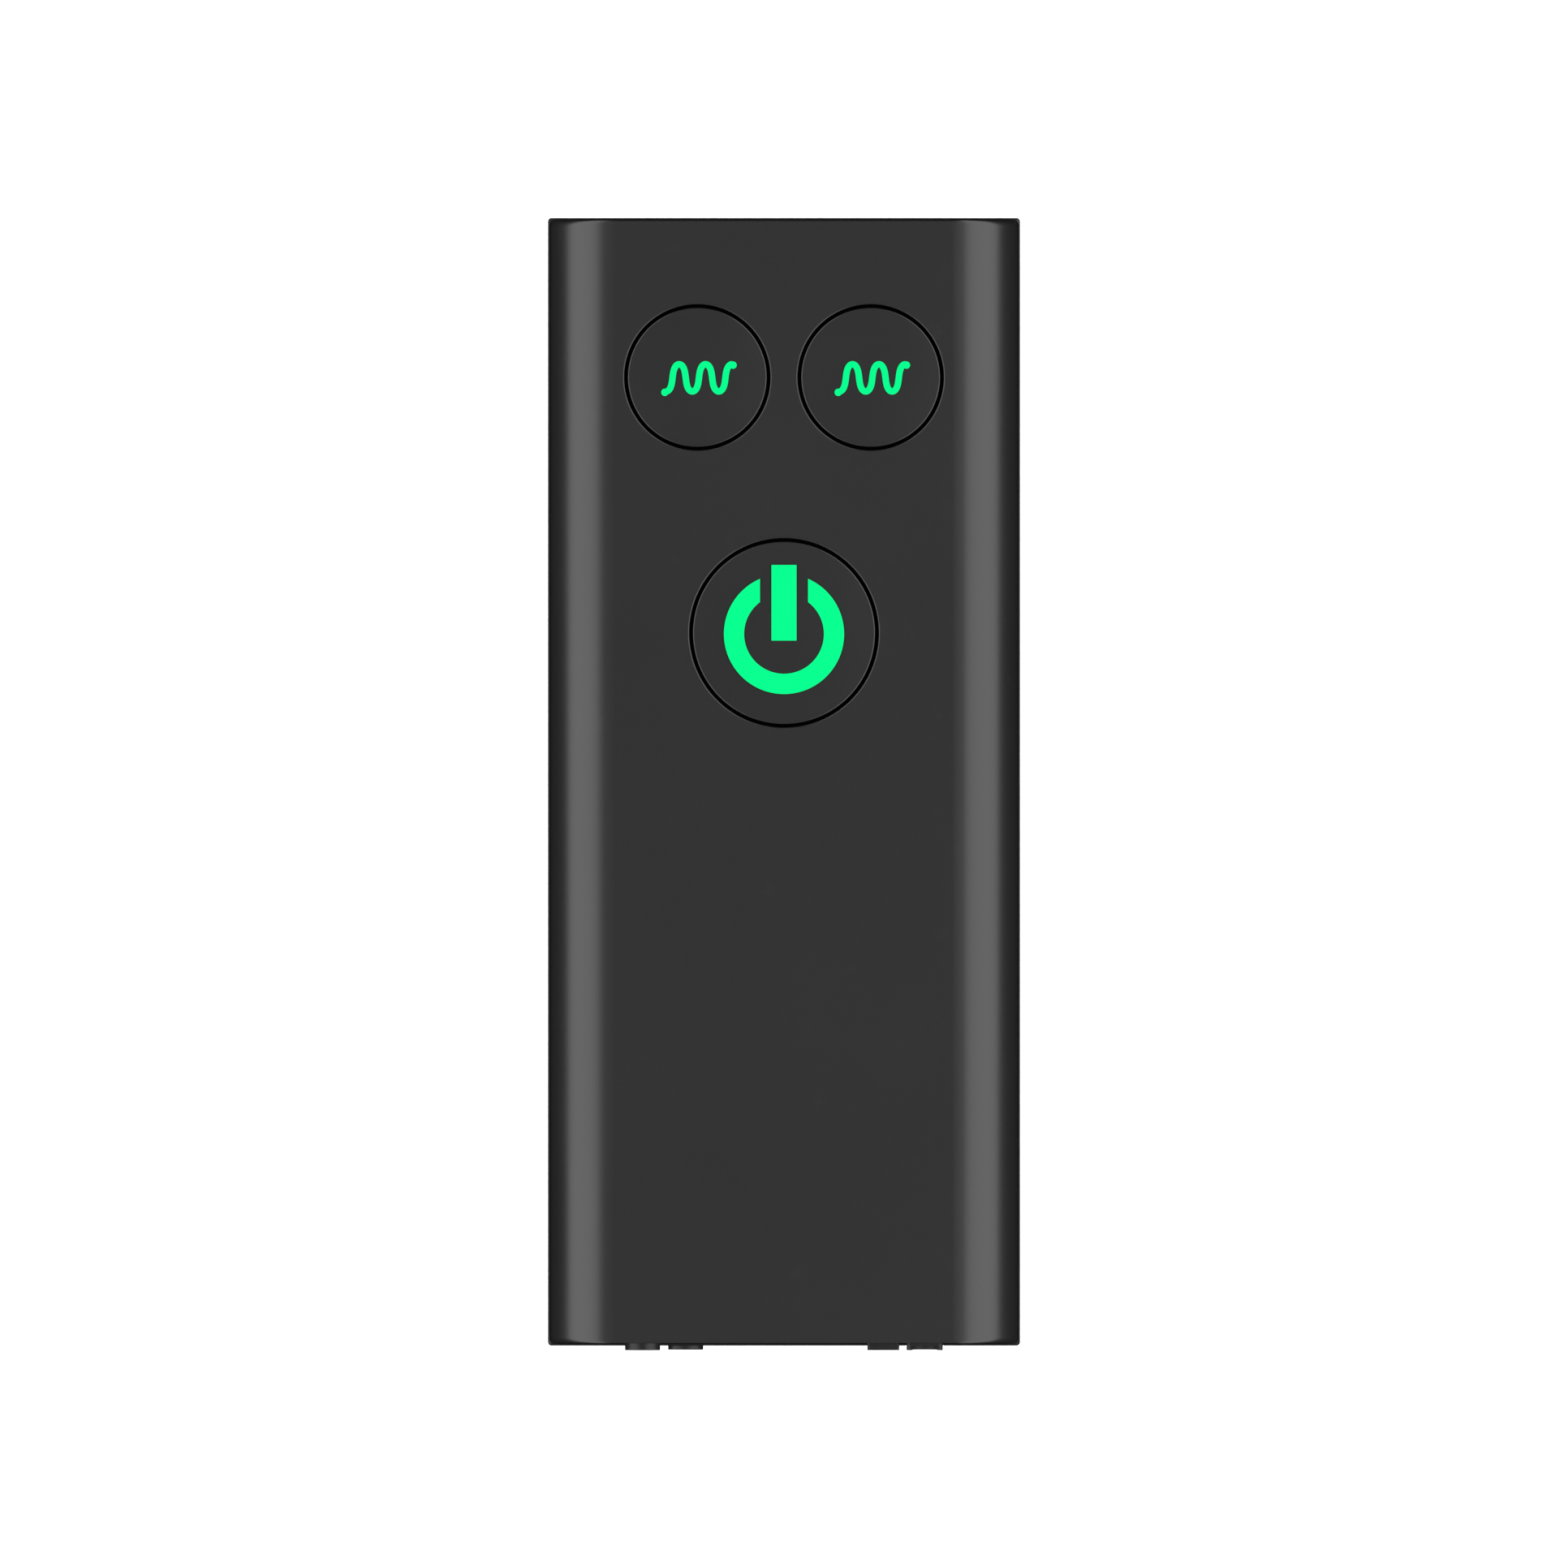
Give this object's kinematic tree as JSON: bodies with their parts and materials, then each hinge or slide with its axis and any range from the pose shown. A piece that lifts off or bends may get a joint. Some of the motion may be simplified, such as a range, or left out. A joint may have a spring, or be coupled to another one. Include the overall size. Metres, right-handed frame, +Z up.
{
  "type": "bluetooth audio receiver",
  "caption": "Flat battery-powered wireless audio receiver with lit round push buttons, audio sockets, a charging socket and a slider on one end.",
  "frame": {"origin": "middle of the footprint, on the surface that the receiver rests on when it lies on its back", "axes": "+Z up out of the front face with the buttons, +Y towards the plain end, -Y towards the connector end, +X to the right when the front is read with the plain end at the top"},
  "size_m": [0.067, 0.1606, 0.0244],
  "materials": {
    "case_plastic": "fine satin moulded ABS, near-black grey",
    "cap_plastic": "fine satin moulded ABS, near-black grey",
    "mark_green": "lit translucent green acrylic",
    "socket_plastic": "black glass-filled nylon",
    "strip_rubber": "matt black rubber",
    "pad_silicone": "grey silicone",
    "bright_steel": "nickel-plated steel",
    "contact_gold": "gold-plated bronze",
    "board_laminate": "green lacquered glass-epoxy board",
    "chip_resin": "moulded black epoxy",
    "lamp_white": "white lamp housing",
    "ferrite": "sintered ferrite",
    "can_aluminium": "drawn aluminium can",
    "chip_ceramic": "tinned ceramic chip",
    "cell_foil": "laminated foil pouch",
    "tape_foam": "grey foam tape",
    "lead_red": "red insulation",
    "lead_black": "black insulation",
    "connector_nylon": "natural nylon"
  },
  "bodies": {
    "case": {"front_shell": "case_plastic", "rear_shell": "case_plastic", "foot_strips": "strip_rubber", "case_screws": "bright_steel", "main_board": "board_laminate", "board_screws": "bright_steel", "left_return_pad": "pad_silicone", "right_return_pad": "pad_silicone", "power_return_pad": "pad_silicone", "left_switch_body": "socket_plastic", "right_switch_body": "socket_plastic", "power_switch_body": "socket_plastic", "switch_covers": "bright_steel", "icon_lamps": "lamp_white", "headphone_socket": "socket_plastic", "headphone_contacts": "contact_gold", "line_socket": "socket_plastic", "line_contacts": "contact_gold", "usb_shell": "bright_steel", "usb_tongue": "socket_plastic", "usb_contacts": "contact_gold", "usb_bezel": "socket_plastic", "slide_switch_body": "bright_steel", "slide_switch_terminals": "contact_gold", "radio_board": "board_laminate", "radio_chip": "chip_resin", "radio_shield": "bright_steel", "chip_antenna": "lamp_white", "converter_chip": "chip_resin", "amplifier_chip": "chip_resin", "charger_chip": "chip_resin", "crystal": "bright_steel", "power_inductor": "ferrite", "output_capacitors": "can_aluminium", "capacitor_bases": "socket_plastic", "chip_parts": "chip_ceramic", "battery_cell": "cell_foil", "battery_guard": "board_laminate", "battery_tape": "tape_foam", "battery_lead_red": "lead_red", "battery_lead_black": "lead_black", "battery_plug": "connector_nylon", "battery_socket": "connector_nylon"},
    "left_button": {"left_cap": "cap_plastic", "left_light_guide": "mark_green", "left_plunger": "socket_plastic"},
    "right_button": {"right_cap": "cap_plastic", "right_light_guide": "mark_green", "right_plunger": "socket_plastic"},
    "power_button": {"power_cap": "cap_plastic", "power_light_guide": "mark_green", "power_plunger": "socket_plastic"},
    "slider": {"slide_knob": "socket_plastic", "slide_lever": "socket_plastic"}
  },
  "joints": [
    {"name": "left_press", "type": "slide", "parent": "case", "child": "left_button", "axis": [0, 0, -1], "range_m": [0, 0.0006], "stiffness_N_per_m": 2500, "springref_m": -0.0003, "deforming": ["left_return_pad"]},
    {"name": "right_press", "type": "slide", "parent": "case", "child": "right_button", "axis": [0, 0, -1], "range_m": [0, 0.0006], "stiffness_N_per_m": 2500, "springref_m": -0.0003, "deforming": ["right_return_pad"]},
    {"name": "power_press", "type": "slide", "parent": "case", "child": "power_button", "axis": [0, 0, -1], "range_m": [0, 0.0006], "stiffness_N_per_m": 2500, "springref_m": -0.0003, "deforming": ["power_return_pad"]},
    {"name": "slider_move", "type": "slide", "parent": "case", "child": "slider", "axis": [-1, 0, 0], "range_m": [0, 0.0025]}
  ]
}
